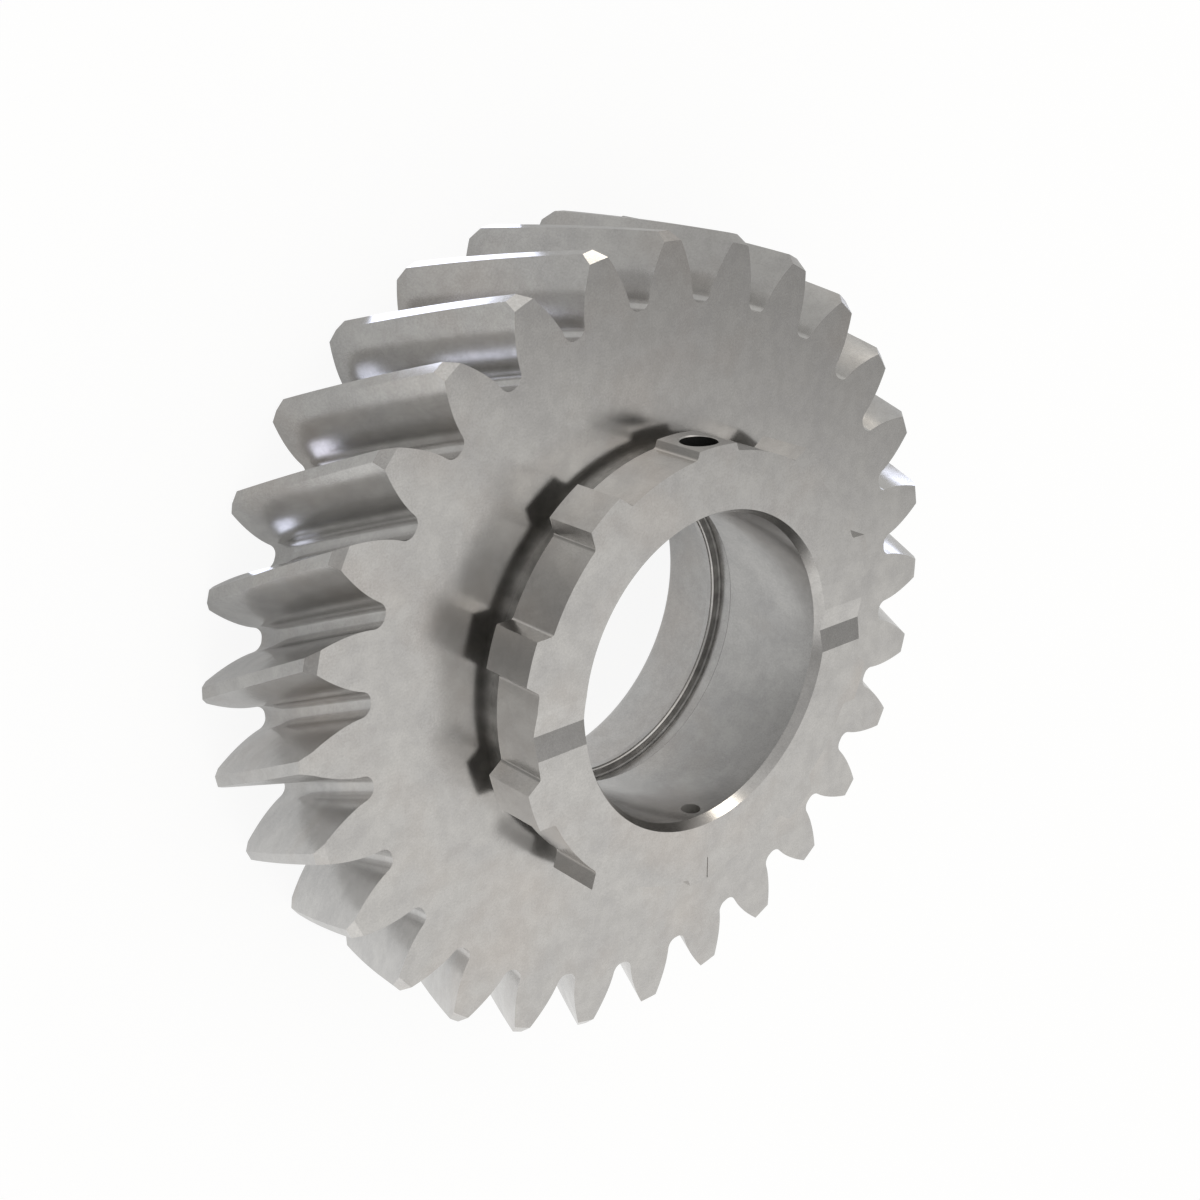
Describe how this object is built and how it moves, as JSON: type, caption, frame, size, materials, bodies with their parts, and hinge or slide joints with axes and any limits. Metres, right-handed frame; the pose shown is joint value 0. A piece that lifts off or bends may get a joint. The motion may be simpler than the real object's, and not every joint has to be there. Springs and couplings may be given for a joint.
{
  "type": "helical gear with dog-toothed hub",
  "caption": "Left-hand helical gear in one piece with a low hub ringed by square dog teeth, a stepped bore with an inner ring groove, and radial oil holes.",
  "frame": {"origin": "on the gear's axis at its rear face, on which it lies", "axes": "+Z along the axis from the rear face to the hub; the two low dog teeth with the oil holes lie on +Y and -Y, and the oil groove across the hub's face runs along X"},
  "size_m": [0.0994, 0.0994, 0.0307],
  "materials": {
    "steel": "case-hardened and ground alloy steel, satin, with a faint mottling"
  },
  "bodies": {
    "root": {"gear": "steel"}
  },
  "joints": []
}
